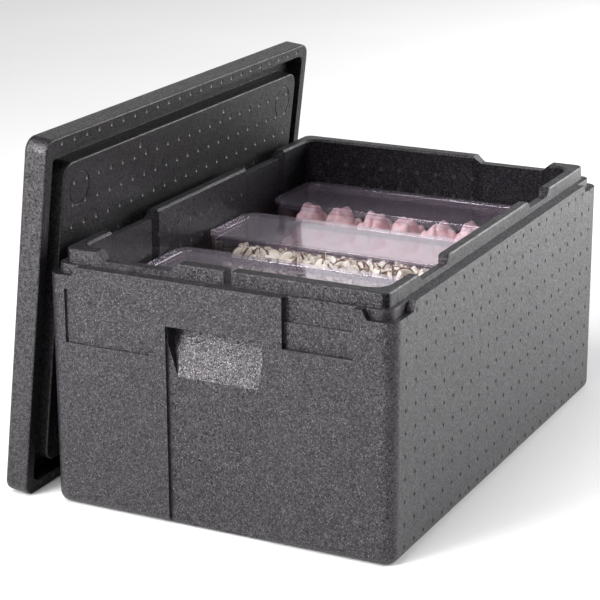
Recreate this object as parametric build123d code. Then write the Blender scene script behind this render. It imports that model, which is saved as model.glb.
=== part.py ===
"""Insulated top-loading food carrier: moulded foam box, lid leaning on its left side, three clear boxes of food."""
import math
import os

from build123d import *

# Frame: millimetres, origin at the centre of the carrier's underside, +Z up,
# +Y from the front handle end to the rear handle end, +X to the right.

# Carrier body
BODY_X = 400.0
BODY_Y = 600.0
LEDGE_Z = 270.0
BODY_CORNER_R = 15.0
BASE_EDGE_R = 12.0
FLOOR_T = 33.0
CAVITY_X = 346.0
CAVITY_Y = 538.0
CAVITY_CORNER_R = 18.0
CAVITY_FLOOR_R = 12.0

# Raised rim that the lid's groove fits over
RIM_SETBACK = 14.0
RIM_H = 15.0
RIM_LOW_H = 6.0
RIM_RAMP = 10.0
RIM_CUT_DEPTH = 34.0
RIM_CORNER_R = 10.0
RIM_LEAD_IN = 2.5
RIM_EDGE = 1.2
WALL_STEP = 4.0
RIM_Z = LEDGE_Z + RIM_H

# Low stretches of the rim, as start and end along each wall
FRONT_LOW = [(-138.0, -59.0)]
REAR_LOW = [(59.0, 138.0)]
RIGHT_LOW = [(-202.0, -140.0), (106.0, 158.0)]
LEFT_LOW = [(-202.0, -122.0), (104.0, 188.0)]
NOTCH_X0 = 4.0
NOTCH_X1 = 13.0

# Corner notches in the ledge
CORNER_NOTCH_X = 30.0
CORNER_NOTCH_Y = 45.0
CORNER_NOTCH_IN = 8.0
CORNER_NOTCH_H = 10.0
CORNER_NOTCH_TAPER = -30.0
CORNER_NOTCH_R = 11.0

# Handle pocket and channel on both short ends, measured from the left edge seen face on
CHANNEL_X0 = 142.0
CHANNEL_X1 = 255.0
CHANNEL_D = 4.0
HANDLE_TOP_Z = 221.0
HANDLE_SHOULDER_Z = 202.0
HANDLE_BOTTOM_Z = 167.0
HANDLE_TOP_X0 = 143.0
HANDLE_TOP_X1 = 254.0
HANDLE_BOTTOM_X0 = 154.0
HANDLE_BOTTOM_X1 = 247.0
HANDLE_D = 26.0

# Label recesses on both short ends
LABEL_X0 = 21.0
LABEL_X1 = 122.0
LABEL_Z0 = 186.0
LABEL_Z1 = 245.0
LABEL_D = 3.2
TAG_X0 = 276.5
TAG_X1 = 355.0
TAG_Z0 = 216.5
TAG_STEP_Z = 243.6
TAG_LOWER_D = 6.5
TAG_UPPER_D = 9.0

# Carrier lid
LID_X = 405.0
LID_Y = 601.0
LID_T = 28.0
LID_CORNER_R = 15.0
LID_EDGE_R = 5.0
LID_BORDER = 13.5
LID_BORDER_EDGE_R = 2.0
GROOVE_D = 17.0
GROOVE_CORNER_R = 11.0
PLUG_GAP = 1.5
PLUG_PROUD = 3.0
PLUG_CORNER_R = 16.0
PLUG_EDGE_R = 2.0
MARK_R = 19.0
MARK_W = 1.2
MARK_D = 0.6
MARK_INSET = 32.0
LID_LEAN = 6.7
LID_SHIFT_Y = -6.5
LEAN_GAP = 0.4

# Clear food boxes and their lids
PAN_X = 325.0
PAN_Y = 108.0
PAN_CORNER_R = 18.0
PAN_WALL = 3.0
PAN_FLOOR_R = 10.0
PAN_RIM_Z = 230.0
BEAD_OUT = 1.5
BEAD_H = 5.0
PAN_LEFT_GAP = 3.0
PAN_FAR_EDGES = {"front": -70.0, "middle": 94.0, "rear": 258.0}
PAN_LID_T = 3.0
PAN_LID_LIP = 7.0
PAN_LID_LIP_GAP = 0.5
PAN_LID_LIP_T = 2.0
PAN_LID_EDGE_R = 1.2
PAN_LID_PANEL_INSET = 13.0
PAN_LID_PANEL_D = 0.8
PAN_LID_PANEL_R = 11.5

# Food
FOOD_GAP = 1.0
BED_TOP_Z = 180.0
BED_EDGE_R = 12.0
ROLL_COUNT = 7
ROLL_H = 42.0
ROLL_SHOULDER_H = 23.0
ROLL_TAPER = 0.9
ROLL_CLEAR = 0.6
HEAP_TOP_Z = 216.0
HEAP_DRAFT = 20.0


def rounded_box(size_x, size_y, z0, z1, radius):
    """Upright block with rounded vertical corners, centred on the Z axis."""
    outline = Plane.XY.offset(z0) * RectangleRounded(size_x, size_y, radius)
    return extrude(outline, amount=z1 - z0)


def plain_box(x0, x1, y0, y1, z0, z1):
    """Block given by its six faces."""
    centre = ((x0 + x1) / 2, (y0 + y1) / 2, (z0 + z1) / 2)
    return Pos(*centre) * Box(x1 - x0, y1 - y0, z1 - z0)


def edges_at_z(solid, z):
    """Edges that lie flat at one height."""
    return solid.edges().filter_by_position(Axis.Z, z - 0.01, z + 0.01)


def end_wall_profile(points, depth):
    """Cut for the front wall from X and Z points measured from the wall's left edge."""
    corners = [(x - BODY_X / 2, z) for x, z in points]
    face = Plane.XZ.offset(BODY_Y / 2) * make_face(Polyline(*corners, close=True))
    return extrude(face, amount=-depth)


def end_wall_rectangle(x0, x1, z0, z1, depth):
    """Rectangular pocket of one depth in the front wall."""
    return end_wall_profile([(x0, z0), (x1, z0), (x1, z1), (x0, z1)], depth)


def handle_pocket():
    """Finger pocket that is deepest under its top edge and slopes out to the wall."""
    outline = [
        (HANDLE_BOTTOM_X0, HANDLE_BOTTOM_Z),
        (HANDLE_BOTTOM_X1, HANDLE_BOTTOM_Z),
        (HANDLE_TOP_X1, HANDLE_SHOULDER_Z),
        (HANDLE_TOP_X1, HANDLE_TOP_Z),
        (HANDLE_TOP_X0, HANDLE_TOP_Z),
        (HANDLE_TOP_X0, HANDLE_SHOULDER_Z),
    ]
    pocket = end_wall_profile(outline, HANDLE_D)
    wall_y = -BODY_Y / 2
    side = make_face(
        Plane.YZ
        * Polyline(
            (wall_y - 1, HANDLE_TOP_Z + 1),
            (wall_y - 1, HANDLE_BOTTOM_Z - 1),
            (wall_y + CHANNEL_D, HANDLE_BOTTOM_Z - 1),
            (wall_y + CHANNEL_D, HANDLE_BOTTOM_Z),
            (wall_y + HANDLE_D, HANDLE_TOP_Z + 1),
            close=True,
        )
    )
    return pocket & extrude(side, amount=BODY_X / 2, both=True)


def end_wall_cuts():
    """Everything sunk into the front wall."""
    cuts = end_wall_rectangle(CHANNEL_X0, CHANNEL_X1, -1, HANDLE_TOP_Z, CHANNEL_D)
    cuts += handle_pocket()
    cuts += end_wall_rectangle(LABEL_X0, LABEL_X1, LABEL_Z0, LABEL_Z1, LABEL_D)
    cuts += end_wall_rectangle(TAG_X0, TAG_X1, TAG_Z0, LEDGE_Z + 1, TAG_LOWER_D)
    cuts += end_wall_rectangle(TAG_X0, TAG_X1, TAG_STEP_Z, LEDGE_Z + 1, TAG_UPPER_D)
    return cuts


def corner_notches():
    """Steps at the four corners of the ledge, with slanted ends."""
    core = rounded_box(
        BODY_X - 2 * CORNER_NOTCH_IN,
        BODY_Y - 2 * CORNER_NOTCH_IN,
        LEDGE_Z - CORNER_NOTCH_H - 1,
        LEDGE_Z + 2,
        CORNER_NOTCH_R,
    )
    floor = Plane.XY.offset(LEDGE_Z - CORNER_NOTCH_H)
    block = extrude(
        floor * Rectangle(2 * CORNER_NOTCH_X, 2 * CORNER_NOTCH_Y),
        amount=CORNER_NOTCH_H + 1,
        taper=CORNER_NOTCH_TAPER,
    )
    corners = GridLocations(BODY_X, BODY_Y, 2, 2)
    return [place * block - core for place in corners]


def rim_gap(start, end, low_h):
    """Tall prism along +X that lowers the rim between start and end, with sloped ends."""
    top = RIM_Z + 1
    outline = Polyline(
        (start, LEDGE_Z + low_h),
        (end, LEDGE_Z + low_h),
        (end + RIM_RAMP * (top - LEDGE_Z - low_h) / (RIM_H - low_h), top),
        (start - RIM_RAMP * (top - LEDGE_Z - low_h) / (RIM_H - low_h), top),
        close=True,
    )
    return extrude(Plane.XZ * make_face(outline), amount=RIM_CUT_DEPTH, both=True)


def wall_relief(start, end):
    """Shallow upright relief in the inner wall under a low stretch, along +X and facing -Y."""
    outline = Polyline(
        (start - RIM_RAMP, 1),
        (start - RIM_RAMP, 0),
        (start, -WALL_STEP),
        (end, -WALL_STEP),
        (end + RIM_RAMP, 0),
        (end + RIM_RAMP, 1),
        close=True,
    )
    height = RIM_Z + 1 - FLOOR_T - CAVITY_FLOOR_R
    return extrude(Plane.XY.offset(FLOOR_T + CAVITY_FLOOR_R) * make_face(outline), amount=height)


def rim_shaping():
    """Low stretches of the rim and the wall reliefs below them, on all four walls."""
    walls = [
        (FRONT_LOW, CAVITY_Y / 2, 0),
        (RIGHT_LOW, CAVITY_X / 2, 90),
        ([(-end, -start) for start, end in REAR_LOW], CAVITY_Y / 2, 180),
        ([(-end, -start) for start, end in LEFT_LOW], CAVITY_X / 2, -90),
    ]
    cuts = []
    for spans, distance, turn in walls:
        place = Rot(0, 0, turn) * Pos(0, -distance, 0)
        for start, end in spans:
            cuts.append(place * rim_gap(start, end, RIM_LOW_H))
            cuts.append(place * wall_relief(start, end))
    cuts.append(
        plain_box(NOTCH_X0, NOTCH_X1, -BODY_Y / 2, -CAVITY_Y / 2 + 1, LEDGE_Z, RIM_Z + 1)
    )
    return cuts


def carrier_body():
    """One-piece foam box."""
    block = rounded_box(BODY_X, BODY_Y, 0, LEDGE_Z, BODY_CORNER_R)
    block = fillet(edges_at_z(block, 0), BASE_EDGE_R)
    rim = rounded_box(
        BODY_X - 2 * RIM_SETBACK,
        BODY_Y - 2 * RIM_SETBACK,
        LEDGE_Z - 1,
        RIM_Z,
        RIM_CORNER_R,
    )
    rim = chamfer(edges_at_z(rim, RIM_Z), RIM_EDGE)
    cavity = rounded_box(CAVITY_X, CAVITY_Y, FLOOR_T, RIM_Z - RIM_LEAD_IN, CAVITY_CORNER_R)
    cavity = fillet(edges_at_z(cavity, FLOOR_T), CAVITY_FLOOR_R)
    mouth = extrude(
        Plane.XY.offset(RIM_Z - RIM_LEAD_IN) * RectangleRounded(CAVITY_X, CAVITY_Y, CAVITY_CORNER_R),
        amount=RIM_LEAD_IN + 1,
        taper=-45,
    )
    body = block + rim - cavity - mouth
    for cut in corner_notches() + rim_shaping():
        body -= cut
    cuts = end_wall_cuts()
    body -= cuts
    body -= Rot(0, 0, 180) * cuts
    return body


def lid_plug():
    """Panel on the underside of the lid that drops into the mouth of the carrier."""
    inset_x = (BODY_X - CAVITY_X) / 2 + PLUG_GAP
    inset_y = (BODY_Y - CAVITY_Y) / 2 + PLUG_GAP
    plug = rounded_box(
        BODY_X - 2 * inset_x,
        BODY_Y - 2 * inset_y,
        -GROOVE_D - 1,
        PLUG_PROUD,
        PLUG_CORNER_R,
    )
    plug = fillet(edges_at_z(plug, PLUG_PROUD), PLUG_EDGE_R)
    ring = Circle(MARK_R) - Circle(MARK_R - MARK_W)
    mark = extrude(Plane.XY.offset(PLUG_PROUD) * ring, amount=-MARK_D)
    spread_x = BODY_X - 2 * (inset_x + MARK_INSET)
    spread_y = BODY_Y - 2 * (inset_y + MARK_INSET)
    for place in GridLocations(spread_x, spread_y, 2, 2):
        plug -= place * mark
    return plug


def leaning_lid_location():
    """Place of the lid's underside centre when its long edge stands on the ground."""
    lean = math.radians(LID_LEAN)
    up = Vector(math.sin(lean), 0, math.cos(lean))
    inward = Vector(math.cos(lean), 0, -math.sin(lean))
    ledge_edge = Vector(-BODY_X / 2, LID_SHIFT_Y, LEDGE_Z)
    touch = ledge_edge - inward * (PLUG_PROUD + LEAN_GAP)
    lowest = LID_BORDER_EDGE_R * (math.cos(lean) + math.sin(lean) - 1)
    foot = touch - up * ((touch.Z + lowest) / up.Z)
    centre = foot + up * (LID_X / 2)
    return Location(Plane(origin=centre, x_dir=up, z_dir=inward))


def carrier_lid():
    """One-piece foam lid, drawn with its underside up, then leant on the carrier's left side."""
    slab = rounded_box(LID_X, LID_Y, -LID_T, 0, LID_CORNER_R)
    slab = fillet(edges_at_z(slab, -LID_T), LID_EDGE_R)
    slab = fillet(edges_at_z(slab, 0), LID_BORDER_EDGE_R)
    recess = rounded_box(
        LID_X - 2 * LID_BORDER,
        LID_Y - 2 * LID_BORDER,
        -GROOVE_D,
        1,
        GROOVE_CORNER_R,
    )
    lid = slab - recess + lid_plug()
    return leaning_lid_location() * lid


def pan_shell():
    """Clear box with a bead round its mouth, centred on the Z axis."""
    body_x = PAN_X - 2 * BEAD_OUT
    body_y = PAN_Y - 2 * BEAD_OUT
    corner = PAN_CORNER_R - BEAD_OUT
    outer = rounded_box(body_x, body_y, FLOOR_T, PAN_RIM_Z, corner)
    outer = fillet(edges_at_z(outer, FLOOR_T), PAN_FLOOR_R)
    outer += rounded_box(PAN_X, PAN_Y, PAN_RIM_Z - BEAD_H, PAN_RIM_Z, PAN_CORNER_R)
    inner = rounded_box(
        body_x - 2 * PAN_WALL,
        body_y - 2 * PAN_WALL,
        FLOOR_T + PAN_WALL,
        PAN_RIM_Z + 1,
        corner - PAN_WALL,
    )
    inner = fillet(edges_at_z(inner, FLOOR_T + PAN_WALL), PAN_FLOOR_R)
    return outer - inner


def pan_lid():
    """Flat clear lid with a shallow sunk panel and a lip that plugs into the box."""
    plate = rounded_box(PAN_X, PAN_Y, PAN_RIM_Z, PAN_RIM_Z + PAN_LID_T, PAN_CORNER_R)
    plate = fillet(edges_at_z(plate, PAN_RIM_Z + PAN_LID_T), PAN_LID_EDGE_R)
    panel = rounded_box(
        PAN_X - 2 * PAN_LID_PANEL_INSET,
        PAN_Y - 2 * PAN_LID_PANEL_INSET,
        PAN_RIM_Z + PAN_LID_T - PAN_LID_PANEL_D,
        PAN_RIM_Z + PAN_LID_T + 1,
        PAN_LID_PANEL_R,
    )
    inset = BEAD_OUT + PAN_WALL + PAN_LID_LIP_GAP
    lip_z = PAN_RIM_Z - PAN_LID_LIP
    lip = rounded_box(PAN_X - 2 * inset, PAN_Y - 2 * inset, lip_z, PAN_RIM_Z, PAN_CORNER_R - inset)
    hollow_inset = inset + PAN_LID_LIP_T
    hollow = rounded_box(
        PAN_X - 2 * hollow_inset,
        PAN_Y - 2 * hollow_inset,
        lip_z - 1,
        PAN_RIM_Z,
        PAN_CORNER_R - hollow_inset,
    )
    return plate - panel + (lip - hollow)


def inside_size():
    """Clear length and width inside a food box, less the gap that food leaves."""
    inset = BEAD_OUT + PAN_WALL + FOOD_GAP
    return PAN_X - 2 * inset, PAN_Y - 2 * inset


def food_bed():
    """Packed lower layers of food, from the floor of the box up."""
    size_x, size_y = inside_size()
    bed = rounded_box(size_x, size_y, FLOOR_T + PAN_WALL, BED_TOP_Z, BED_EDGE_R)
    return fillet(edges_at_z(bed, FLOOR_T + PAN_WALL), BED_EDGE_R - 1)


def food_rolls():
    """Row of folded slices lying across the box on top of the bed."""
    size_x, size_y = inside_size()
    pitch = (size_x - BED_EDGE_R) / ROLL_COUNT
    half = pitch / 2 - ROLL_CLEAR
    shoulder = half * ROLL_TAPER
    right_side = [(half, 0), (shoulder, ROLL_SHOULDER_H), (0, ROLL_H)]
    left_side = [(-shoulder, ROLL_SHOULDER_H), (-half, 0)]
    outline = make_face(Polyline(*right_side, *left_side, close=True))
    roll = extrude(Plane.XZ * outline, amount=size_y / 2 - BED_EDGE_R / 2, both=True)
    first = -pitch * (ROLL_COUNT - 1) / 2
    return [Pos(first + pitch * i, 0, BED_TOP_Z) * roll for i in range(ROLL_COUNT)]


def food_heap():
    """Loose heap with sloping sides on top of the bed."""
    size_x, size_y = inside_size()
    outline = Plane.XY.offset(BED_TOP_Z) * RectangleRounded(size_x, size_y, BED_EDGE_R)
    return extrude(outline, amount=HEAP_TOP_Z - BED_TOP_Z, taper=HEAP_DRAFT)


def pan_place(name):
    """Where each food box stands in the carrier."""
    centre_x = -CAVITY_X / 2 + PAN_LEFT_GAP + PAN_X / 2
    centre_y = PAN_FAR_EDGES[name] - PAN_Y / 2
    return Pos(centre_x, centre_y, 0)


def all_nodes():
    """Every separate piece, by name."""
    nodes = {"carrier_body": carrier_body(), "carrier_lid": carrier_lid()}
    for name in PAN_FAR_EDGES:
        place = pan_place(name)
        nodes[f"pan_{name}"] = place * pan_shell()
        nodes[f"pan_lid_{name}"] = place * pan_lid()
    nodes["ham_bed_rear"] = pan_place("rear") * food_bed()
    nodes["mushroom_bed_middle"] = pan_place("middle") * food_bed()
    nodes["poultry_bed_front"] = pan_place("front") * food_bed()
    nodes["mushroom_slices_middle"] = pan_place("middle") * food_heap()
    for i, roll in enumerate(food_rolls(), start=1):
        nodes[f"ham_roll_{i}"] = pan_place("rear") * roll
        nodes[f"poultry_roll_{i}"] = pan_place("front") * roll
    return nodes


os.makedirs("parts", exist_ok=True)
for node_name, shape in all_nodes().items():
    export_step(shape, os.path.join("parts", f"{node_name}.step"))
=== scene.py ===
"""Looks for the insulated food carrier.

A foam box, its leaning lid and three clear boxes of food, on a studio floor with soft light and a camera.
Lengths are in metres and places are in the CAD frame.
"""
import math
import random

import bmesh
import bpy
from mathutils import Matrix, Vector, noise


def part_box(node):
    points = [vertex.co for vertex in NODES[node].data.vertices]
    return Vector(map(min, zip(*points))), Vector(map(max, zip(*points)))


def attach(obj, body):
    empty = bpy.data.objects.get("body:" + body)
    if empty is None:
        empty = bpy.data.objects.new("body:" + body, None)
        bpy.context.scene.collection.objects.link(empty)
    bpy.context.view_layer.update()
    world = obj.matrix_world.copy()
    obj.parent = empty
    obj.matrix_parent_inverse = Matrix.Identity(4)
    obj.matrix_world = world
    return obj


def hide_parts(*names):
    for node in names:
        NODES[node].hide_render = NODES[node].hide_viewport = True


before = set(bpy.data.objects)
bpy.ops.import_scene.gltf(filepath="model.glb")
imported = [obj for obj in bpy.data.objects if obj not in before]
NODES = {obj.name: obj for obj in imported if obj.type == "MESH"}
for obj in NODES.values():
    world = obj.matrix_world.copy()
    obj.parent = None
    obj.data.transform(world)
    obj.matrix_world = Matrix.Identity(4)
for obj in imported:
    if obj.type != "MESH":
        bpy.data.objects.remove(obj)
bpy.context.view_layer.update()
SCENE = bpy.context.scene
ACROSS = Vector((1, 0, 0))
ALONG = Vector((0, 1, 0))
UP = Vector((0, 0, 1))

# Camera: its place and aim, and its lens and sensor in millimetres
CAMERA_AT = Vector((0.9765, -2.0484, 0.8979))
CAMERA_FORWARD = Vector((-0.42783, 0.85085, -0.30499))
CAMERA_RIGHT = Vector((0.89401, 0.44803, -0.00418))
CAMERA_LENS = 125.1
SENSOR_WIDTH = 36.0

# Stage: what the lights aim at, the light from all round, and the floor
LIGHT_TARGET = Vector((0, 0, 0.15))
WORLD_STRENGTH = 0.17
FLOOR_HALF_SIZE = 6.0
FLOOR_SEGMENTS = 8

# Rounded edges, and how close two points are joined
FOAM_EDGE = 0.0009
CLEAR_EDGE = 0.0005
EDGE_SEGMENTS = 3
EDGE_ANGLE = math.radians(18)
FLAT_ANGLE = math.radians(0.6)
CAD_WELD = 0.00001
EDGE_WELD = 0.00002
FLAT_WEIGHT = 100

# Foam surface: bead size, warp and lean, its flecks, and the depths of its seams, grain and pits
BEAD_SIZE = 0.0019
BEAD_WARP = 0.5
BEAD_LEAN = 0.17
FLECKS_PER_BEAD = 1.6
# Share of pale flecks kept where shade is painted, inside the bay and under the lid
FLECKS_WHERE_SHADE_PAINTED = 0.35
DULLEST_BEAD = 0.35
SEAM_WIDTH = 0.12
SEAM_DEPTH = 0.0006
GRAIN_DEPTH = 0.00007
PIT_DEPTH = 0.00015
SIDE_RUGGEDNESS = 0.35
TOP_SHINE = 0.5

# The inside of the bay, less shiny than the outside skin and with fewer pale flecks: painted shade for the
# shade that falls inside it
PAINTED_SHADE_HALF_X = 0.1852
PAINTED_SHADE_HALF_Y = 0.2700
PAINTED_SHADE_RIM_HALF_Y = 0.2852
HANDLE_POCKET_TOP = 0.2225
BAY_SHADE_TOP = 0.2

# Clear plastic: share mirrored when seen straight on, and how steeply that rises towards the edges
STRAIGHT_MIRROR = 0.04
MIRROR_POWER = 5.0

# Steam-vent marks: their spacing and size, and the dish shape as shares of radius and depth
VENT_PITCH = 0.0246
VENT_RADIUS = 0.0029
MARK_SIDES = 8
MARK_DEPTH = 0.0007
MARK_PROFILE = ((0.35, -1.0), (0.80, -0.8), (1.0, 0.0), (1.02, 1.0))

# Vent marks on the long outer walls
OUTER_COLUMNS = 23
OUTER_ROWS = 11
OUTER_SHIFT = -0.0016
OUTER_FIRST_Z = 0.014

# Vent marks on the bay's walls: where each run starts along the wall and how many marks it has
BAY_WALL_X = 0.173
BAY_WALL_Y = 0.269
BAY_FIRST_Z = 0.060
BAY_ROWS = 9
BAY_LONG_RUNS = ((-0.113, 9), (0.196, 2))
BAY_SHORT_RUNS = ((-0.1476, 5), (-0.0246, 8))

# The leaning lid: its lean, its centre up the slope, and the marks on its underside
LID_LEAN = math.radians(6.7)
LID_FOOT_X = -0.2352
LID_CENTRE_UP_SLOPE = 0.2025
PLUG_PROUD = 0.003
PLUG_ROWS = 13
PLUG_COLUMNS = 21
BORDER_ROW = 0.1955
BORDER_COLUMNS = 23
GATE_RADIUS = 0.0034
GATE_ROW = 0.159
GATE_PLACES = (-0.112, 0.080)

# Packed meat: how far layers are set in and shifted, their ripple, and their rounded outline
LAYER_INSET = 0.0004
LAYER_INSET_SPREAD = 0.0022
LAYER_SHIFT = 0.0005
LAYER_RIPPLE = 0.0012
RIPPLE_SCALE = 60
RIPPLE_STEP = 3.7
BED_CORNER = 0.012
BED_CORNER_STEPS = 5
BED_SIDE_PARTS = 8
# Each layer from bottom to top: share of its thickness, and how far its edge is pulled in
LAYER_PROFILE = ((0.04, 0.0016), (0.3, 0.0002), (0.7, 0.0), (0.96, 0.0014))

# Folded slices: each lobe's width and height, and where it starts and stops along the bundle
LOBES = (
    (0.98, 0.62, 0.40, 1.0),
    (1.0, 1.10, 0.16, 0.74),
    (0.92, 0.98, 0.11, 0.46),
    (0.60, 0.72, 0.07, 0.28),
)
LOBE_SIDEWAYS = 0.14
LOBE_START_SPREAD = (0.6, 1.0)
LOBE_HEIGHT_SPREAD = (0.90, 1.0)
LOBE_SEED_RANGE = 50
LOBE_COLUMNS = 22
LOBE_ROWS = 18
LOBE_END_SIZE = 0.15
LOBE_END_POWER = 2.4
LOBE_BODY = 0.90
CREASE_DEPTH = 0.07
CREASE_COUNT = 7
CREASE_WANDER = 2.5
CREASE_WANDER_SCALE = 45
RUFFLE_DEPTH = 0.10
RUFFLE_TURN_SCALE = 2.2
RUFFLE_LENGTH_SCALE = 55
BUNDLES = 7
HAM_FILL = 1.0
POULTRY_FILL = 0.35

# Loose mushroom slices: sizes, tilts in degrees, and the shape of their heap
CAP_RADIUS = (0.0078, 0.0120)
CAP_POINTS = 11
CAP_HEIGHT = 0.72
STEM_SHARE = (0.26, 0.36)
SLICE_THICKNESS = (0.003, 0.0042)
SLICE_MIDDLE = 0.1
# Each ring from the outline inwards: share of the outline, share of the thickness, and rim value
SLICE_RINGS = ((1.0, 0.55, 1.0), (0.90, 1.0, 0.25), (0.60, 1.0, 0.0))
GILL_RING = 1
GILL_RIM = 0.75
UNDERSIDE_RIM = 0.5
UPRIGHT_SHARE = 0.55
UPRIGHT_TILT = (55, 100)
LOOSE_TILT = (-42, 42)
HEAP_COLUMNS = 27
HEAP_ROWS = 7
HEAP_LEVELS = 2
HEAP_MARGIN = 0.014
HEAP_BASE = 0.004
HEAP_TOP_ROOM = 0.012
HEAP_FALL = 0.85
HEAP_CREST_END = 0.2
LEVEL_RISE = 0.62
LEVEL_SPREAD = 0.38

# Mushroom slabs on edge: their widths, gaps, ends and wavy faces
SLAB_WIDTH = (0.0055, 0.0125)
SLAB_FILL = 0.97
LEAST_SLAB = 0.004
SLAB_STEPS = 9
SLAB_BASE = 0.002
SLAB_TOP_DROP = 0.004
SLAB_DENT = 0.0022
END_ZONE = 0.012
END_CORNER = 0.008
SLAB_CORNER = 0.0025
EDGE_SET_BACK = 0.0012
PALE_SET_BACK = 0.004
DARK_CHANCE = 0.22
DARK_RIM = 0.9
LIGHT_RIM = 0.15

# Seeds of the random draws
HAM_SEED = 20
POULTRY_SEED = 60
HEAP_SEED = 41
SLAB_SEED = 58

# Widest angle in degrees that is still shaded smooth
BED_SMOOTH = 40.0
FOLD_SMOOTH = 75.0
MUSHROOM_SMOOTH = 50.0


# ---------------------------------------------------------------- material helpers


class Shading:
    """One node material while it is being put together."""

    def __init__(self, name):
        self.material = bpy.data.materials.new(name)
        self.material.use_nodes = True
        self.tree = self.material.node_tree
        self.tree.nodes.clear()
        self.output = self.tree.nodes.new("ShaderNodeOutputMaterial")
        coords = self.tree.nodes.new("ShaderNodeTexCoord")
        self.place = coords.outputs["Object"]
        self.facing = coords.outputs["Normal"]

    def node(self, kind, values, **settings):
        """A node with its inputs set by name or number, from values or from other nodes' sockets."""
        made = self.tree.nodes.new(kind)
        for key, value in settings.items():
            setattr(made, key, value)
        for key, value in values.items():
            socket = made.inputs[key]
            if isinstance(value, bpy.types.NodeSocket):
                self.tree.links.new(value, socket)
            else:
                socket.default_value = value
        return made

    def math(self, operation, *inputs):
        """Result of one math operation."""
        return self.node("ShaderNodeMath", dict(enumerate(inputs)), operation=operation).outputs[0]

    def axis(self, vector, index):
        """One coordinate of a vector: 0, 1 or 2 for x, y or z."""
        return self.node("ShaderNodeSeparateXYZ", {"Vector": vector}).outputs[index]

    def spread(self, value, low, high, to_low, to_high):
        """The value's range low to high, stretched to another range."""
        values = {"Value": value, 1: low, 2: high, 3: to_low, 4: to_high}
        return self.node("ShaderNodeMapRange", values).outputs[0]

    def blend(self, mode, amount, first, second):
        """Two colours put together in one of the mix modes."""
        node = self.node("ShaderNodeMix", {0: amount}, data_type="RGBA", blend_type=mode)
        for index, value in ((6, first), (7, second)):
            if isinstance(value, bpy.types.NodeSocket):
                self.tree.links.new(value, node.inputs[index])
            else:
                node.inputs[index].default_value = (*value[:3], 1.0)
        return node.outputs[2]

    def ramp(self, value, stops):
        """Colour ramp with a stop at each given position."""
        node = self.node("ShaderNodeValToRGB", {"Fac": value})
        elements = node.color_ramp.elements
        while len(elements) < len(stops):
            elements.new(0.5)
        for element, (position, colour) in zip(elements, stops):
            element.position = position
            element.color = (*colour, 1.0)
        return node.outputs["Color"]

    def stretched(self, scale):
        """The place, scaled differently along each axis."""
        return self.node("ShaderNodeMapping", {"Vector": self.place, "Scale": scale}).outputs["Vector"]

    def noise(self, scale, detail=2.0, rough=0.5, vector=None, distortion=0.0):
        """Noise texture at the place, or at another vector."""
        values = {"Vector": vector or self.place, "Scale": scale, "Detail": detail}
        values.update({"Roughness": rough, "Distortion": distortion})
        return self.node("ShaderNodeTexNoise", values)

    def bump(self, height, strength, distance):
        """Normal bent by a height."""
        values = {"Height": height, "Strength": strength, "Distance": distance}
        return self.node("ShaderNodeBump", values).outputs[0]

    def principled(self, values):
        """The finished material with one principled surface."""
        return self.finish(self.node("ShaderNodeBsdfPrincipled", values))

    def finish(self, shader):
        """The finished material with this shader as its surface."""
        self.tree.links.new(shader.outputs[0], self.output.inputs["Surface"])
        return self.material


def grey(level):
    return (level, level, level)


def scaled(colour, factor):
    return tuple(part * factor for part in colour)


# ---------------------------------------------------------------- foam materials


def bead_slope(shade, beads, moved):
    """Height that leans each bead's face its own way."""
    values = {0: moved, 1: beads.outputs["Position"]}
    offset = shade.node("ShaderNodeVectorMath", values, operation="SUBTRACT").outputs[0]
    values = {0: beads.outputs["Color"], 1: grey(0.5)}
    lean = shade.node("ShaderNodeVectorMath", values, operation="SUBTRACT").outputs[0]
    values = {0: offset, 1: lean}
    return shade.node("ShaderNodeVectorMath", values, operation="DOT_PRODUCT").outputs["Value"]


def bay_painted_shade_mask(shade):
    """1 on the inside of the bay, where shade is painted, 0 on the outside skin."""
    x, y, z = shade.node("ShaderNodeSeparateXYZ", {"Vector": shade.place}).outputs
    across = shade.math("LESS_THAN", shade.math("ABSOLUTE", x), PAINTED_SHADE_HALF_X)
    above_pocket = shade.math("GREATER_THAN", z, HANDLE_POCKET_TOP)
    half_y = shade.spread(above_pocket, 0.0, 1.0, PAINTED_SHADE_HALF_Y, PAINTED_SHADE_RIM_HALF_Y)
    along = shade.math("LESS_THAN", shade.math("ABSOLUTE", y), half_y)
    wall = shade.math("LESS_THAN", shade.math("ABSOLUTE", shade.axis(shade.facing, 2)), 0.5)
    wall_or_deep = shade.math("MAXIMUM", wall, shade.math("LESS_THAN", z, BAY_SHADE_TOP))
    return shade.math("MULTIPLY", shade.math("MULTIPLY", across, along), wall_or_deep)


def underside_painted_shade_mask(shade):
    """1 on the lid's underside, where shade is painted, 0 on its outer skin."""
    return shade.spread(shade.axis(shade.facing, 0), 0.80, 0.95, 0.0, 1.0)


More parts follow.
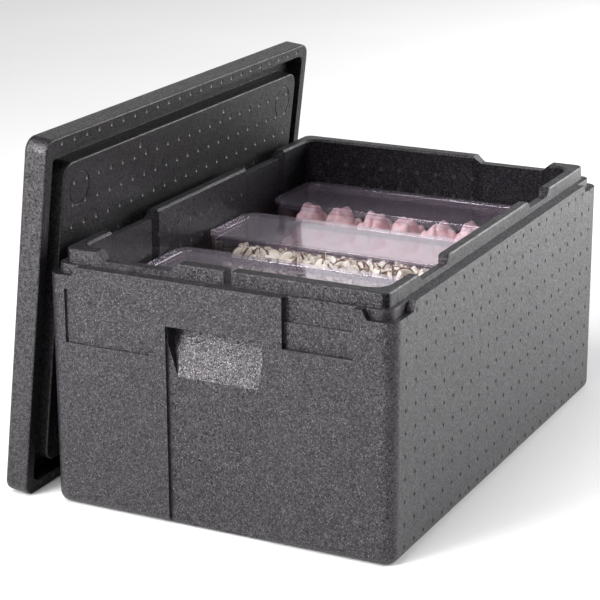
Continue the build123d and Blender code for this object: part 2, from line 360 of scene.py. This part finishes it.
def foam_material(name, base, speck, gloss, inside, shine_where_shade_painted):
    """Fused bead foam: leaning bead faces, dark seams and pits, scattered pale beads, a broad sheen, and
    painted shade (fewer pale beads, less sheen) where the inside mask is 1.
    """
    shade = Shading(name)
    warp = shade.noise(scale=420.0).outputs["Color"]
    values = {0: warp, "Scale": BEAD_SIZE * BEAD_WARP}
    offset = shade.node("ShaderNodeVectorMath", values, operation="SCALE").outputs[0]
    values = {0: shade.place, 1: offset}
    moved = shade.node("ShaderNodeVectorMath", values, operation="ADD").outputs[0]
    beads = shade.node("ShaderNodeTexVoronoi", {"Vector": moved, "Scale": 1 / BEAD_SIZE})
    flecks = shade.node("ShaderNodeTexVoronoi", {"Vector": moved, "Scale": FLECKS_PER_BEAD / BEAD_SIZE})
    values = {"Vector": moved, "Scale": 1 / BEAD_SIZE}
    seams = shade.node("ShaderNodeTexVoronoi", values, feature="DISTANCE_TO_EDGE").outputs["Distance"]
    fine = shade.noise(scale=1100.0, detail=3.0, rough=0.7).outputs["Fac"]
    broad = shade.noise(scale=7.0, detail=3.0).outputs["Fac"]
    hollow = shade.noise(scale=620.0).outputs["Fac"]
    sideways = shade.math("ABSOLUTE", shade.axis(shade.facing, 0))
    rugged = shade.spread(sideways, 0.5, 0.98, 1.0, SIDE_RUGGEDNESS)
    of_bead = shade.node("ShaderNodeSeparateColor", {"Color": beads.outputs["Color"]})
    of_fleck = shade.node("ShaderNodeSeparateColor", {"Color": flecks.outputs["Color"]}).outputs["Blue"]
    shade_painted_inside = inside(shade)

    core = shade.ramp(flecks.outputs["Distance"], [(0.22, grey(1)), (0.62, grey(0))])
    pale = shade.math("MULTIPLY", shade.ramp(of_fleck, [(0.60, grey(0)), (1.0, grey(1))]), core)
    pale = shade.math("MULTIPLY", pale, rugged)
    # Painted shade: fewer pale flecks where the inside mask is 1, for the shade in the bay and under the
    # lid
    pale = shade.math("MULTIPLY", pale, shade.spread(shade_painted_inside, 0.0, 1.0, 1.0, FLECKS_WHERE_SHADE_PAINTED))
    pits = shade.ramp(hollow, [(0.31, grey(0)), (0.38, grey(1))])
    seam_shade = shade.ramp(seams, [(0.0, grey(0.2)), (SEAM_WIDTH, grey(1))])
    broad_shade = shade.ramp(broad, [(0.3, grey(0.88)), (0.7, grey(1.08))])
    colour = shade.blend("MIX", of_bead.outputs["Red"], scaled(base, 0.5), scaled(base, 1.5))
    colour = shade.blend("MIX", pale, colour, speck)
    colour = shade.blend("MULTIPLY", 1.0, colour, seam_shade)
    colour = shade.blend("MULTIPLY", 1.0, colour, shade.spread(pits, 0.0, 1.0, 0.2, 1.0))
    colour = shade.blend("MULTIPLY", 1.0, colour, broad_shade)

    lean = shade.math("MULTIPLY", rugged, BEAD_LEAN)
    leaning = shade.math("MULTIPLY", bead_slope(shade, beads, moved), lean)
    groove = shade.math("MULTIPLY", shade.math("MINIMUM", seams, SEAM_WIDTH), SEAM_DEPTH)
    grain = shade.math("MULTIPLY", fine, GRAIN_DEPTH)
    dents = shade.math("MULTIPLY", pits, PIT_DEPTH)
    height = shade.math("ADD", shade.math("ADD", leaning, groove), shade.math("ADD", grain, dents))

    shine = shade.spread(of_bead.outputs["Green"], 0.0, 1.0, DULLEST_BEAD * gloss, gloss)
    shine = shade.math("MULTIPLY", shine, pits)
    # Painted shade: less sheen where the inside mask is 1
    shine = shade.math("MULTIPLY", shine, shade.spread(shade_painted_inside, 0.0, 1.0, 1.0, shine_where_shade_painted))
    level = shade.math("ABSOLUTE", shade.axis(shade.facing, 2))
    shine = shade.math("MULTIPLY", shine, shade.spread(level, 0.6, 0.95, 1.0, TOP_SHINE))
    return shade.principled({
        "Base Color": colour,
        # Painted light colour: the sheen's faint pink-violet tint stands in for tinted studio light
        "Specular Tint": (1.0, 0.955, 0.985, 1.0),
        "Roughness": shade.spread(of_bead.outputs["Blue"], 0.0, 1.0, 0.33, 0.50),
        "Normal": shade.bump(height, strength=1.0, distance=1.0),
        "Specular IOR Level": shine,
    })


def vent_material(name, low, high, shine):
    """Skin of the small round steam-vent marks."""
    shade = Shading(name)
    grain = shade.noise(scale=900.0).outputs["Fac"]
    return shade.principled({
        "Base Color": shade.ramp(grain, [(0.3, grey(low)), (0.7, grey(high))]),
        "Roughness": shade.spread(grain, 0.3, 0.7, 0.40, 0.55),
        "Specular IOR Level": shine,
        "Normal": shade.bump(grain, strength=0.3, distance=0.0002),
    })


# ---------------------------------------------------------------- clear plastic


def clear_material(name, tint, haze, rough):
    """Clear moulded plastic: see-through, glossy at low angles, faintly cloudy."""
    shade = Shading(name)
    flow = shade.noise(scale=1.0, vector=shade.stretched((6.0, 34.0, 34.0))).outputs["Fac"]
    scuffs = shade.noise(scale=240.0, detail=3.0, rough=0.75).outputs["Fac"]
    normal = shade.bump(flow, strength=0.12, distance=0.0006)
    edge_on = shade.node("ShaderNodeLayerWeight", {"Blend": 0.5, "Normal": normal}).outputs["Facing"]
    passed = shade.blend("MIX", edge_on, tint, scaled(tint, 0.95))
    through = shade.node("ShaderNodeBsdfTransparent", {"Color": passed})
    values = {"Base Color": (0.62, 0.54, 0.68, 1.0), "Roughness": 0.5, "Normal": normal}
    cloud = shade.node("ShaderNodeBsdfPrincipled", values)
    gloss_rough = shade.spread(scuffs, 0.35, 0.75, rough, rough * 1.15)
    # Painted reflection colour: the gloss layer's faint violet tint stands in for violet surroundings seen
    # in the reflection
    values = {"Color": (0.98, 0.94, 1.0, 1.0), "Roughness": gloss_rough, "Normal": normal}
    gloss = shade.node("ShaderNodeBsdfAnisotropic", values)
    rise = shade.math("POWER", edge_on, MIRROR_POWER)
    mirror = shade.math("MULTIPLY_ADD", rise, 1 - STRAIGHT_MIRROR, STRAIGHT_MIRROR)
    hazy = shade.node("ShaderNodeMixShader", {0: haze, 1: through.outputs[0], 2: cloud.outputs[0]})
    values = {0: mirror, 1: hazy.outputs[0], 2: gloss.outputs[0]}
    return shade.finish(shade.node("ShaderNodeMixShader", values))


# ---------------------------------------------------------------- food materials


def meat_material(name, pale, mid, deep):
    """Moist sliced meat: soft mottling, pale grain streaks, light that soaks in."""
    shade = Shading(name)
    mottle = shade.noise(scale=95.0, detail=5.0, rough=0.62, distortion=0.6).outputs["Fac"]
    lengthened = shade.stretched((130.0, 18.0, 55.0))
    streak = shade.noise(scale=3.0, detail=4.0, vector=lengthened, distortion=1.2).outputs["Fac"]
    colour = shade.ramp(mottle, [(0.30, deep), (0.46, mid), (0.68, pale)])
    veins = shade.math("MULTIPLY", shade.ramp(streak, [(0.54, grey(0)), (0.66, grey(1))]), 0.5)
    vein_colour = tuple(min(1.0, part) for part in scaled(pale, 1.12))
    return shade.principled({
        "Base Color": shade.blend("MIX", veins, colour, vein_colour),
        "Roughness": shade.spread(mottle, 0.3, 0.7, 0.34, 0.5),
        "Normal": shade.bump(mottle, strength=0.4, distance=0.0008),
        "Subsurface Weight": 0.35,
        "Subsurface Radius": (0.008, 0.004, 0.003),
        "Subsurface Scale": 0.5,
    })


def mushroom_material():
    """Raw sliced mushroom: cream flesh that turns to brown skin and gills where the rim value is high."""
    shade = Shading("mushroom_flesh")
    mottle = shade.noise(scale=170.0, detail=4.0, rough=0.6).outputs["Fac"]
    rim = shade.node("ShaderNodeAttribute", {}, attribute_name="rim").outputs["Fac"]
    cream = [(0.3, (0.84, 0.74, 0.58)), (0.46, (0.94, 0.89, 0.78)), (0.7, (0.97, 0.95, 0.90))]
    brown = [(0.3, (0.05, 0.025, 0.014)), (0.7, (0.20, 0.11, 0.06))]
    ragged_rim = shade.math("ADD", rim, shade.math("MULTIPLY", mottle, 0.3))
    edge = shade.spread(ragged_rim, 0.48, 0.85, 0.0, 1.0)
    return shade.principled({
        "Base Color": shade.blend("MIX", edge, shade.ramp(mottle, cream), shade.ramp(mottle, brown)),
        "Roughness": shade.spread(mottle, 0.3, 0.7, 0.5, 0.7),
        "Normal": shade.bump(mottle, strength=0.3, distance=0.0006),
        "Subsurface Weight": 0.12,
        "Subsurface Radius": (0.005, 0.004, 0.003),
        "Subsurface Scale": 0.4,
    })


def floor_material():
    """Matt pale studio paper."""
    shade = Shading("studio_floor")
    grain = shade.noise(scale=3.0).outputs["Fac"]
    paper = shade.ramp(grain, [(0.3, grey(0.86)), (0.7, grey(0.88))])
    return shade.principled({"Base Color": paper, "Roughness": 0.9})


FOAM = foam_material(
    "charcoal_bead_foam",
    base=(0.0120, 0.0108, 0.0132),
    speck=(0.20, 0.184, 0.218),
    gloss=0.80,
    # The inside of the bay gets painted shade: fewer pale flecks and less sheen
    inside=bay_painted_shade_mask,
    shine_where_shade_painted=0.16,
)
FOAM_LID = foam_material(
    "charcoal_bead_foam_lid",
    base=(0.0105, 0.0098, 0.0112),
    speck=(0.09, 0.086, 0.095),
    gloss=0.88,
    # The lid's underside gets painted shade: fewer pale flecks and less sheen
    inside=underside_painted_shade_mask,
    shine_where_shade_painted=0.18,
)
VENT_DARK = vent_material("vent_mark_dark", low=0.012, high=0.024, shine=0.22)
# Lid underside marks coloured paler: painted reflection, standing in for the light their glossy dishes
# catch in the lid's shade
VENT_PAINTED_LIGHT = vent_material("vent_mark_painted_light", low=0.026, high=0.048, shine=0.3)
VENT_BAY = vent_material("vent_mark_bay", low=0.012, high=0.024, shine=0.2)
CLEAR_PAN = clear_material("clear_pan_plastic", tint=(0.988, 0.984, 0.990), haze=0.006, rough=0.05)
CLEAR_LID = clear_material("clear_lid_plastic", tint=(0.982, 0.972, 0.986), haze=0.055, rough=0.080)
HAM = meat_material(
    "sliced_ham",
    pale=(0.97, 0.78, 0.79),
    mid=(0.93, 0.60, 0.64),
    deep=(0.80, 0.41, 0.46),
)
POULTRY = meat_material(
    "sliced_poultry",
    pale=(0.84, 0.64, 0.53),
    mid=(0.74, 0.48, 0.39),
    deep=(0.56, 0.31, 0.26),
)
MUSHROOM = mushroom_material()


# ---------------------------------------------------------------- piece helpers


def mesh_object(name, bm):
    """Object in the scene with this mesh, which is used up."""
    mesh = bpy.data.meshes.new(name)
    bm.to_mesh(mesh)
    bm.free()
    made = bpy.data.objects.new(name, mesh)
    SCENE.collection.objects.link(made)
    return made


def new_piece(name, bm, material, body, smooth_angle):
    """Piece from a mesh, smooth except at real edges, riding on its body."""
    bmesh.ops.recalc_face_normals(bm, faces=bm.faces)
    piece = mesh_object(name, bm)
    piece.data.materials.append(material)
    piece.data.shade_smooth()
    piece.data.set_sharp_from_angle(angle=math.radians(smooth_angle))
    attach(piece, body)
    return piece


def join_rings(bm, rings):
    """Walls between neighbouring closed rings of points, and a cap on each end."""
    for under, over in zip(rings, rings[1:]):
        for index in range(len(under)):
            after = (index + 1) % len(under)
            bm.faces.new((under[index], under[after], over[after], over[index]))
    bm.faces.new(reversed(rings[0]))
    bm.faces.new(rings[-1])


def clamp_to_box(bm, low, high):
    """Keep every point inside the space of the CAD solid."""
    for vert in bm.verts:
        for axis in range(3):
            vert.co[axis] = min(max(vert.co[axis], low[axis]), high[axis])


def bake_modifiers(piece):
    """Turn the piece's modifiers into its mesh."""
    graph = bpy.context.evaluated_depsgraph_get()
    piece.data = bpy.data.meshes.new_from_object(piece.evaluated_get(graph))
    piece.modifiers.clear()


def level_flats(piece):
    """Shade large flats as flat right up to their rounded edges."""
    weighted = piece.modifiers.new("flat_shading_of_flats", "WEIGHTED_NORMAL")
    weighted.weight = FLAT_WEIGHT
    bake_modifiers(piece)


def clean(mesh, weld, merge_flats):
    """Join points that lie closer together than the weld, and if asked merge faces that lie flat."""
    bm = bmesh.new()
    bm.from_mesh(mesh)
    bmesh.ops.remove_doubles(bm, verts=bm.verts, dist=weld)
    if merge_flats:
        bmesh.ops.dissolve_limit(bm, angle_limit=FLAT_ANGLE, verts=bm.verts, edges=bm.edges)
    bm.to_mesh(mesh)
    bm.free()


def softened_copy(node, name, width, material, body):
    """The CAD shape with its hard edges slightly rounded, as moulding leaves them."""
    mesh = NODES[node].data.copy()
    piece = bpy.data.objects.new(name, mesh)
    SCENE.collection.objects.link(piece)
    clean(mesh, CAD_WELD, merge_flats=True)
    mesh.materials.clear()
    mesh.materials.append(material)
    mesh.shade_smooth()
    bevel = piece.modifiers.new("edge_round", "BEVEL")
    bevel.width = width
    bevel.segments = EDGE_SEGMENTS
    bevel.limit_method = "ANGLE"
    bevel.angle_limit = EDGE_ANGLE
    bake_modifiers(piece)
    clean(piece.data, EDGE_WELD, merge_flats=False)
    level_flats(piece)
    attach(piece, body)
    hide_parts(node)
    return piece


# ---------------------------------------------------------------- foam box and lid


def add_mark(bm, centre, across, along, out, radius):
    """Cutter for one round mark: a shallow dish that reaches out past the surface."""
    rings = []
    for share, height in MARK_PROFILE:
        ring = []
        for index in range(MARK_SIDES):
            turn = 2 * math.pi * (index + 0.5) / MARK_SIDES
            flat = across * math.cos(turn) + along * math.sin(turn)
            ring.append(bm.verts.new(centre + flat * (radius * share) + out * (MARK_DEPTH * height)))
        rings.append(ring)
    for inner, outer in zip(rings, rings[1:]):
        for index in range(MARK_SIDES):
            after = (index + 1) % MARK_SIDES
            bm.faces.new((inner[index], outer[index], outer[after], inner[after]))
    bm.faces.new(rings[0])
    bm.faces.new(reversed(rings[-1]))


def vent_grid(bm, corner, across, along, out, steps_across, steps_along):
    """Rectangular grid of vent marks from one corner mark."""
    for i in range(steps_across):
        for j in range(steps_along):
            centre = corner + across * (VENT_PITCH * i) + along * (VENT_PITCH * j)
            add_mark(bm, centre, across, along, out, VENT_RADIUS)


def outer_marks(bm):
    """Vent marks on the two long outer walls."""
    low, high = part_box("carrier_body")
    first_y = OUTER_SHIFT - VENT_PITCH * (OUTER_COLUMNS // 2)
    for wall_x in (low.x, high.x):
        out = ACROSS * math.copysign(1, wall_x)
        corner = Vector((wall_x, first_y, OUTER_FIRST_Z))
        vent_grid(bm, corner, ALONG, UP, out, OUTER_COLUMNS, OUTER_ROWS)


def bay_marks(bm):
    """Vent marks on the four inner walls, clear of the grip hollows."""
    for side in (-1, 1):
        for first, count in BAY_LONG_RUNS:
            corner = Vector((side * BAY_WALL_X, first, BAY_FIRST_Z))
            vent_grid(bm, corner, ALONG, UP, ACROSS * -side, count, BAY_ROWS)
    for side in (-1, 1):
        for first, count in BAY_SHORT_RUNS:
            start = first if side > 0 else -first - VENT_PITCH * (count - 1)
            corner = Vector((start, side * BAY_WALL_Y, BAY_FIRST_Z))
            vent_grid(bm, corner, ACROSS, UP, ALONG * -side, count, BAY_ROWS)


def lid_frame():
    """The lid's centre, the way up its slope and the way out of its underside."""
    low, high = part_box("carrier_lid")
    up_slope = Vector((math.sin(LID_LEAN), 0, math.cos(LID_LEAN)))
    outward = Vector((math.cos(LID_LEAN), 0, -math.sin(LID_LEAN)))
    foot = Vector((LID_FOOT_X, (low.y + high.y) / 2, 0))
    return foot + up_slope * LID_CENTRE_UP_SLOPE, up_slope, outward


def lid_marks(bm):
    """Vent marks on the plug and along the long borders of the lid, and its four gate marks."""
    centre, up_slope, outward = lid_frame()
    corner = centre + outward * PLUG_PROUD - up_slope * (VENT_PITCH * (PLUG_ROWS // 2))
    corner -= ALONG * (VENT_PITCH * (PLUG_COLUMNS // 2))
    vent_grid(bm, corner, ALONG, up_slope, outward, PLUG_COLUMNS, PLUG_ROWS)
    for row in (-BORDER_ROW, BORDER_ROW):
        start = centre + up_slope * row - ALONG * (VENT_PITCH * (BORDER_COLUMNS // 2))
        vent_grid(bm, start, ALONG, up_slope, outward, BORDER_COLUMNS, 1)
    for row in (-GATE_ROW, GATE_ROW):
        for place in GATE_PLACES:
            spot = centre + outward * PLUG_PROUD + up_slope * row + ALONG * place
            add_mark(bm, spot, ALONG, up_slope, outward, GATE_RADIUS)


def cut_marks(piece, add_marks, material):
    """Sink a set of round marks into a foam piece, lined with their own material."""
    bm = bmesh.new()
    add_marks(bm)
    bmesh.ops.recalc_face_normals(bm, faces=bm.faces)
    cutter = mesh_object("mark_cutter", bm)
    cutter.data.materials.append(material)
    cut = piece.modifiers.new("marks", "BOOLEAN")
    cut.operation = "DIFFERENCE"
    cut.solver = "EXACT"
    cut.material_mode = "TRANSFER"
    cut.object = cutter
    bake_modifiers(piece)
    bpy.data.objects.remove(cutter)
    level_flats(piece)


foam_body = softened_copy("carrier_body", "foam_body", FOAM_EDGE, FOAM, "carrier")
foam_lid = softened_copy("carrier_lid", "foam_lid", FOAM_EDGE, FOAM_LID, "lid")
cut_marks(foam_body, outer_marks, VENT_DARK)
cut_marks(foam_body, bay_marks, VENT_BAY)
# The lid's marks take the paler colour of painted reflection
cut_marks(foam_lid, lid_marks, VENT_PAINTED_LIGHT)


# ---------------------------------------------------------------- clear boxes

for pan in ("front", "middle", "rear"):
    softened_copy(f"pan_{pan}", f"clear_box_{pan}", CLEAR_EDGE, CLEAR_PAN, f"box_{pan}")
    softened_copy(f"pan_lid_{pan}", f"clear_lid_{pan}", CLEAR_EDGE, CLEAR_LID, f"box_lid_{pan}")


# ---------------------------------------------------------------- sliced meat


def rounded_loop(half_x, half_y):
    """Points round a rounded rectangle, evenly turned at its corners and evenly spaced on its sides."""
    arcs = []
    for corner, (sign_x, sign_y) in enumerate(((1, 1), (-1, 1), (-1, -1), (1, -1))):
        arc = []
        for step in range(BED_CORNER_STEPS + 1):
            turn = math.radians(90 * corner + 90 * step / BED_CORNER_STEPS)
            x = sign_x * (half_x - BED_CORNER) + BED_CORNER * math.cos(turn)
            y = sign_y * (half_y - BED_CORNER) + BED_CORNER * math.sin(turn)
            arc.append((x, y))
        arcs.append(arc)
    points = []
    for arc, next_arc in zip(arcs, arcs[1:] + arcs[:1]):
        points += arc
        x0, y0 = arc[-1]
        x1, y1 = next_arc[0]
        for part in range(1, BED_SIDE_PARTS):
            share = part / BED_SIDE_PARTS
            points.append((x0 + (x1 - x0) * share, y0 + (y1 - y0) * share))
    return points


def layered_bed(name, node, material, body, layer, seed):
    """Stack of slices that fills the lower part of a box, each layer set in a little differently."""
    low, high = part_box(node)
    centre = (low + high) / 2
    half_x = (high.x - low.x) / 2
    half_y = (high.y - low.y) / 2
    chance = random.Random(seed)
    bm = bmesh.new()
    rings = []
    count = int((high.z - low.z) / layer)
    thick = (high.z - low.z) / count
    for index in range(count):
        inset = LAYER_INSET + chance.random() * LAYER_INSET_SPREAD
        shift = Vector((chance.uniform(-1, 1), chance.uniform(-1, 1))) * LAYER_SHIFT
        for share, pull in LAYER_PROFILE:
            ring = []
            for x, y in rounded_loop(half_x - inset - pull, half_y - inset - pull):
                spot = Vector((x * RIPPLE_SCALE, y * RIPPLE_SCALE, index * RIPPLE_STEP))
                z = low.z + thick * (index + share) + noise.noise(spot) * LAYER_RIPPLE
                ring.append(bm.verts.new((centre.x + x + shift.x, centre.y + y + shift.y, z)))
            rings.append(ring)
    join_rings(bm, rings)
    clamp_to_box(bm, low, high)
    piece = new_piece(name, bm, material, body, BED_SMOOTH)
    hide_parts(node)


def folded_slices(name, node, material, body, slot, seed, fill):
    """One bundle of folded slices: ruffled lobes set one behind another towards the near wall."""
    low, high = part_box(node)
    half_x = (high.x - low.x) / 2
    depth = high.y - low.y
    chance = random.Random(seed)
    bm = bmesh.new()
    for width, tall, start, stop in LOBES:
        middle = (low.x + high.x) / 2 + chance.uniform(-LOBE_SIDEWAYS, LOBE_SIDEWAYS) * half_x
        near = low.y + depth * start * chance.uniform(*LOBE_START_SPREAD)
        far = low.y + depth * stop
        height = (high.z - low.z) * fill * tall * chance.uniform(*LOBE_HEIGHT_SPREAD)
        add_lobe(bm, middle, (near, far), low.z, half_x * width, height, chance.random() * LOBE_SEED_RANGE)
    clamp_to_box(bm, low, high)
    piece = new_piece(name, bm, material, body, FOLD_SMOOTH)
    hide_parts(node)


def add_lobe(bm, middle, reach, base, half, height, seed):
    """Closed lump with rounded ends, creased along its length like a folded slice."""
    rings = []
    for row in range(LOBE_ROWS + 1):
        share = row / LOBE_ROWS
        swell = max(LOBE_END_SIZE, (1 - abs(2 * share - 1) ** LOBE_END_POWER) ** 0.5)
        y = reach[0] + (reach[1] - reach[0]) * share
        wander = noise.noise(Vector((y * CREASE_WANDER_SCALE, seed, 0))) * CREASE_WANDER
        ring = []
        for column in range(LOBE_COLUMNS + 1):
            turn = math.pi * column / LOBE_COLUMNS
            crease = CREASE_DEPTH * math.sin(turn * CREASE_COUNT + seed + wander)
            spot = Vector((turn * RUFFLE_TURN_SCALE, y * RUFFLE_LENGTH_SCALE, seed))
            size = swell * (LOBE_BODY + crease + RUFFLE_DEPTH * noise.noise(spot))
            x = middle + half * math.cos(turn) * size
            ring.append(bm.verts.new((x, y, base + height * math.sin(turn) * size)))
        rings.append(ring)
    join_rings(bm, rings)


# ---------------------------------------------------------------- mushrooms


def mushroom_outline(cap, stem):
    """Side view of a sliced mushroom: a domed cap with curled edges over a short stem."""
    points = []
    for step in range(CAP_POINTS):
        turn = math.pi * step / (CAP_POINTS - 1)
        points.append((cap * math.cos(turn), cap * CAP_HEIGHT * math.sin(turn)))
    under_right = [
        (cap * 0.93, -cap * 0.22),
        (cap * 0.62, -cap * 0.26),
        (stem * 1.1, -cap * 0.05),
        (stem, -cap * 0.72),
    ]
    points += [(-x, y) for x, y in under_right]
    points.append((0, -cap * 0.80))
    return points + under_right[::-1]


def add_mushroom_slice(bm, rim, cap, stem, thickness, placing):
    """One slice, with its rim value high on the skin and along the gills."""
    outline = mushroom_outline(cap, stem)
    count = len(outline)
    gills = (CAP_POINTS + 1, CAP_POINTS + 2, count - 3, count - 2)
    middle = Vector((0, cap * SLICE_MIDDLE, 0))
    edges = []
    for side in (-1, 1):
        rings = []
        for number, (share, bulge, value) in enumerate(SLICE_RINGS):
            lift = Vector((0, 0, side * thickness / 2 * bulge))
            ring = []
            for index, (x, y) in enumerate(outline):
                flat = middle + (Vector((x, y, 0)) - middle) * share
                vert = bm.verts.new(placing @ (flat + lift))
                vert[rim] = value
                if number == 0 and index >= CAP_POINTS:
                    vert[rim] = value * UNDERSIDE_RIM
                if number == GILL_RING and index in gills:
                    vert[rim] = GILL_RIM
                ring.append(vert)
            rings.append(ring)
        hub = bm.verts.new(placing @ (middle + Vector((0, 0, side * thickness / 2))))
        faces = []
        for outer, inner in zip(rings, rings[1:]):
            for index in range(count):
                after = (index + 1) % count
                faces.append((outer[index], outer[after], inner[after], inner[index]))
        for index in range(count):
            faces.append((rings[-1][index], rings[-1][(index + 1) % count], hub))
        for face in faces:
            bm.faces.new(face if side > 0 else reversed(face))
        edges.append(rings[0])
    back, front = edges
    for index in range(count):
        after = (index + 1) % count
        bm.faces.new((back[index], back[after], front[after], front[index]))


def slice_placing(chance, place, upright):
    """Where one slice lies in the heap: its spot and its tumble."""
    tumble = Matrix.Rotation(chance.uniform(0, 2 * math.pi), 4, "Z")
    tilt = chance.uniform(*(UPRIGHT_TILT if upright else LOOSE_TILT))
    tumble = tumble @ Matrix.Rotation(math.radians(tilt), 4, "X")
    tumble = tumble @ Matrix.Rotation(chance.uniform(0, 2 * math.pi), 4, "Z")
    return Matrix.Translation(place) @ tumble


def add_heap_slice(bm, rim, low, high, cell, chance):
    """One loose slice in its cell of the heap, which falls away towards the far side."""
    column, row, level = cell
    cap = chance.uniform(*CAP_RADIUS)
    share_y = (row + chance.random()) / HEAP_ROWS
    share_x = (column + chance.random()) / HEAP_COLUMNS
    x = low.x + HEAP_MARGIN + (high.x - low.x - 2 * HEAP_MARGIN) * share_x
    y = low.y + HEAP_MARGIN + (high.y - low.y - 2 * HEAP_MARGIN) * share_y
    fall = HEAP_FALL * max(0.0, share_y - HEAP_CREST_END)
    crest = (high.z - low.z - HEAP_TOP_ROOM) * (1 - fall)
    z = low.z + HEAP_BASE + crest * (level * LEVEL_RISE + chance.random() * LEVEL_SPREAD)
    placing = slice_placing(chance, Vector((x, y, z)), chance.random() < UPRIGHT_SHARE)
    stem = cap * chance.uniform(*STEM_SHARE)
    add_mushroom_slice(bm, rim, cap, stem, chance.uniform(*SLICE_THICKNESS), placing)


def mushroom_heap():
    """Loose heap of mushroom slices under the middle box's clear lid."""
    low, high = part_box("mushroom_slices_middle")
    chance = random.Random(HEAP_SEED)
    bm = bmesh.new()
    rim = bm.verts.layers.float.new("rim")
    for column in range(HEAP_COLUMNS):
        for row in range(HEAP_ROWS):
            for level in range(HEAP_LEVELS):
                add_heap_slice(bm, rim, low, high, (column, row, level), chance)
    clamp_to_box(bm, low, high)
    piece = new_piece("mushroom_slice_heap", bm, MUSHROOM, "box_middle", MUSHROOM_SMOOTH)
    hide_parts("mushroom_slices_middle")


def add_upright_slice(bm, rim, span, low, high, chance):
    """One upright slab across the box with a wavy face, dark along its edges."""
    x0, x1 = span
    middle = (x0 + x1) / 2
    at_end = x0 - low.x < END_ZONE or high.x - x1 < END_ZONE
    corner = END_CORNER if at_end else chance.uniform(0.0, SLAB_CORNER)
    top = high.z - chance.uniform(0.0, SLAB_TOP_DROP)
    base = low.z + SLAB_BASE
    rows = []
    for step in range(SLAB_STEPS + 1):
        z = base + (top - base) * step / SLAB_STEPS
        dent = chance.uniform(0.0, SLAB_DENT)
        dark = DARK_RIM if chance.random() < DARK_CHANCE else LIGHT_RIM
        near = low.y + corner + dent
        far = high.y - corner - dent
        outline = (
            (x0, near + EDGE_SET_BACK, dark),
            (middle, near, 0.0),
            (x1, near + EDGE_SET_BACK, dark),
            (x1, near + PALE_SET_BACK, 0.0),
            (x1, far - PALE_SET_BACK, 0.0),
            (x1, far - EDGE_SET_BACK, dark),
            (middle, far, 0.0),
            (x0, far - EDGE_SET_BACK, dark),
            (x0, far - PALE_SET_BACK, 0.0),
            (x0, near + PALE_SET_BACK, 0.0),
        )
        row = []
        for x, y, value in outline:
            vert = bm.verts.new((x, y, z))
            vert[rim] = value
            row.append(vert)
        rows.append(row)
    join_rings(bm, rows)


def upright_slices():
    """Slices stacked on edge that fill the middle box below the loose heap."""
    low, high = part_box("mushroom_bed_middle")
    chance = random.Random(SLAB_SEED)
    bm = bmesh.new()
    rim = bm.verts.layers.float.new("rim")
    x = low.x
    while x < high.x - LEAST_SLAB:
        width = min(chance.uniform(*SLAB_WIDTH), high.x - x)
        add_upright_slice(bm, rim, (x, x + width * SLAB_FILL), low, high, chance)
        x += width
    clamp_to_box(bm, low, high)
    piece = new_piece("mushroom_layers", bm, MUSHROOM, "box_middle", MUSHROOM_SMOOTH)
    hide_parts("mushroom_bed_middle")


layered_bed("ham_layers", "ham_bed_rear", HAM, "box_rear", layer=0.0065, seed=11)
layered_bed("poultry_layers", "poultry_bed_front", POULTRY, "box_front", layer=0.0075, seed=12)
upright_slices()
mushroom_heap()
for number in range(1, BUNDLES + 1):
    ham = (f"ham_fold_{number}", f"ham_roll_{number}", HAM, "box_rear", "ham")
    folded_slices(*ham, seed=HAM_SEED + number, fill=HAM_FILL)
    poultry = (f"poultry_fold_{number}", f"poultry_roll_{number}", POULTRY, "box_front", "poultry")
    folded_slices(*poultry, seed=POULTRY_SEED + number, fill=POULTRY_FILL)


# ---------------------------------------------------------------- stage, light, camera


def add_floor():
    """Large pale floor under the object."""
    bm = bmesh.new()
    bmesh.ops.create_grid(bm, x_segments=FLOOR_SEGMENTS, y_segments=FLOOR_SEGMENTS, size=FLOOR_HALF_SIZE)
    floor = mesh_object("studio_floor", bm)
    floor.data.materials.append(floor_material())


def add_softbox(name, place, size, power):
    """Rectangular soft light that faces the object."""
    data = bpy.data.lights.new(name, "AREA")
    data.shape = "RECTANGLE"
    data.size, data.size_y = size
    data.energy = power
    lamp = bpy.data.objects.new(name, data)
    SCENE.collection.objects.link(lamp)
    lamp.location = place
    lamp.rotation_euler = (LIGHT_TARGET - Vector(place)).to_track_quat("-Z", "Y").to_euler()


def add_world():
    """Even white light from all round."""
    world = bpy.data.worlds.new("studio_world")
    SCENE.world = world
    world.use_nodes = True
    background = world.node_tree.nodes["Background"]
    background.inputs["Color"].default_value = (1.0, 1.0, 1.0, 1.0)
    background.inputs["Strength"].default_value = WORLD_STRENGTH


def add_camera():
    """Camera at the photograph's viewing angle."""
    data = bpy.data.cameras.new("photo_camera")
    data.lens = CAMERA_LENS
    data.sensor_width = SENSOR_WIDTH
    camera = bpy.data.objects.new("photo_camera", data)
    SCENE.collection.objects.link(camera)
    forward = CAMERA_FORWARD.normalized()
    right = (CAMERA_RIGHT - forward * CAMERA_RIGHT.dot(forward)).normalized()
    up = right.cross(forward)
    turn = Matrix((right, up, -forward)).transposed()
    camera.matrix_world = Matrix.Translation(CAMERA_AT) @ turn.to_4x4()
    SCENE.camera = camera


add_floor()
add_softbox("front_left_softbox", place=(-1.3, -2.5, 1.12), size=(1.2, 1.2), power=98.0)
add_softbox("rear_right_softbox", place=(2.0, 2.7, 0.95), size=(2.6, 1.7), power=215.0)
add_softbox("rear_left_card", place=(-1.9, 3.0, 1.35), size=(3.2, 1.7), power=15.0)
add_softbox("top_softbox", place=(-0.45, -1.5, 2.1), size=(1.7, 1.7), power=66.0)
add_world()
add_camera()
SCENE.view_settings.view_transform = "Standard"
